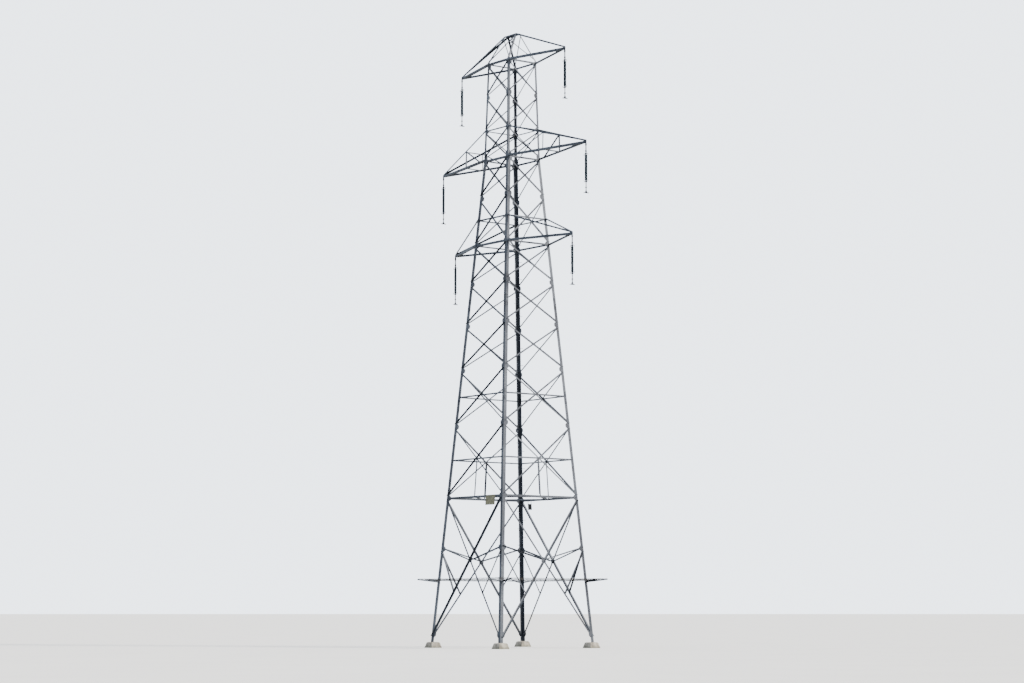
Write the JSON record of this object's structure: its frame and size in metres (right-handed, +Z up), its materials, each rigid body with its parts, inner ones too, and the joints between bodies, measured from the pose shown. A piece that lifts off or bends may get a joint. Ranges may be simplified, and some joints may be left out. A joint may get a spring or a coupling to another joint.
{
  "type": "lattice transmission tower",
  "caption": "Square steel lattice tower with three pairs of tapering crossarms, hanging insulator strings and a climbing guard.",
  "frame": {"origin": "centre of the box around the tower, at the underside of the concrete feet", "axes": "+X along the crossarms to the right, +Y along the line to the rear, +Z up"},
  "size_m": [10.68, 5.894, 26.9],
  "materials": {
    "galvanised_steel": "weathered galvanised steel",
    "concrete": "cast concrete",
    "wire": "galvanised barbed wire",
    "plate_yellow": "weathered yellow enamel",
    "plate_dark": "dark painted plate",
    "fittings_steel": "dark weathered galvanised fittings",
    "silicone_rubber": "grey silicone rubber sheds"
  },
  "bodies": {
    "tower": {"leg_front_left": "galvanised_steel", "leg_front_right": "galvanised_steel", "leg_rear_left": "galvanised_steel", "leg_rear_right": "galvanised_steel", "cage_legs": "galvanised_steel", "concrete_feet": "concrete", "bracing_front": "galvanised_steel", "bracing_right": "galvanised_steel", "bracing_rear": "galvanised_steel", "bracing_left": "galvanised_steel", "base_diagonals_inner": "galvanised_steel", "base_diagonals_outer": "galvanised_steel", "base_struts": "galvanised_steel", "crossarm_top_right": "galvanised_steel", "crossarm_top_left": "galvanised_steel", "crossarm_middle_right": "galvanised_steel", "crossarm_middle_left": "galvanised_steel", "crossarm_bottom_right": "galvanised_steel", "crossarm_bottom_left": "galvanised_steel", "peak": "galvanised_steel", "guard_brackets": "galvanised_steel", "guard_wires": "wire", "plate_large": "plate_yellow", "plate_small": "plate_dark"},
    "link_top_right": {"link_top_right": "fittings_steel"},
    "string_top_right": {"insulator_top_right": "silicone_rubber", "string_fittings_top_right": "fittings_steel"},
    "link_top_left": {"link_top_left": "fittings_steel"},
    "string_top_left": {"insulator_top_left": "silicone_rubber", "string_fittings_top_left": "fittings_steel"},
    "link_middle_right": {"link_middle_right": "fittings_steel"},
    "string_middle_right": {"insulator_middle_right": "silicone_rubber", "string_fittings_middle_right": "fittings_steel"},
    "link_middle_left": {"link_middle_left": "fittings_steel"},
    "string_middle_left": {"insulator_middle_left": "silicone_rubber", "string_fittings_middle_left": "fittings_steel"},
    "link_bottom_right": {"link_bottom_right": "fittings_steel"},
    "string_bottom_right": {"insulator_bottom_right": "silicone_rubber", "string_fittings_bottom_right": "fittings_steel"},
    "link_bottom_left": {"link_bottom_left": "fittings_steel"},
    "string_bottom_left": {"insulator_bottom_left": "silicone_rubber", "string_fittings_bottom_left": "fittings_steel"},
    "earth_clamp": {"earth_wire_clamp": "fittings_steel"}
  },
  "joints": [
    {"name": "swing_across_top_right", "type": "hinge", "parent": "tower", "child": "link_top_right", "pos_m": [3.765, 0, 25.503], "axis": [0, 1, 0], "range_deg": [-45, 45]},
    {"name": "swing_along_top_right", "type": "hinge", "parent": "link_top_right", "child": "string_top_right", "pos_m": [3.765, 0, 25.213], "axis": [1, 0, 0], "range_deg": [-30, 30]},
    {"name": "swing_across_top_left", "type": "hinge", "parent": "tower", "child": "link_top_left", "pos_m": [-3.765, 0, 25.503], "axis": [0, 1, 0], "range_deg": [-45, 45]},
    {"name": "swing_along_top_left", "type": "hinge", "parent": "link_top_left", "child": "string_top_left", "pos_m": [-3.765, 0, 25.213], "axis": [1, 0, 0], "range_deg": [-30, 30]},
    {"name": "swing_across_middle_right", "type": "hinge", "parent": "tower", "child": "link_middle_right", "pos_m": [5.19, 0, 21.203], "axis": [0, 1, 0], "range_deg": [-45, 45]},
    {"name": "swing_along_middle_right", "type": "hinge", "parent": "link_middle_right", "child": "string_middle_right", "pos_m": [5.19, 0, 20.913], "axis": [1, 0, 0], "range_deg": [-30, 30]},
    {"name": "swing_across_middle_left", "type": "hinge", "parent": "tower", "child": "link_middle_left", "pos_m": [-5.19, 0, 21.203], "axis": [0, 1, 0], "range_deg": [-45, 45]},
    {"name": "swing_along_middle_left", "type": "hinge", "parent": "link_middle_left", "child": "string_middle_left", "pos_m": [-5.19, 0, 20.913], "axis": [1, 0, 0], "range_deg": [-30, 30]},
    {"name": "swing_across_bottom_right", "type": "hinge", "parent": "tower", "child": "link_bottom_right", "pos_m": [4.24, 0, 17.403], "axis": [0, 1, 0], "range_deg": [-45, 45]},
    {"name": "swing_along_bottom_right", "type": "hinge", "parent": "link_bottom_right", "child": "string_bottom_right", "pos_m": [4.24, 0, 17.113], "axis": [1, 0, 0], "range_deg": [-30, 30]},
    {"name": "swing_across_bottom_left", "type": "hinge", "parent": "tower", "child": "link_bottom_left", "pos_m": [-4.24, 0, 17.403], "axis": [0, 1, 0], "range_deg": [-45, 45]},
    {"name": "swing_along_bottom_left", "type": "hinge", "parent": "link_bottom_left", "child": "string_bottom_left", "pos_m": [-4.24, 0, 17.113], "axis": [1, 0, 0], "range_deg": [-30, 30]},
    {"name": "swing_earth_clamp", "type": "hinge", "parent": "tower", "child": "earth_clamp", "pos_m": [0, 0, 26.77], "axis": [0, 1, 0], "range_deg": [-45, 45]}
  ]
}
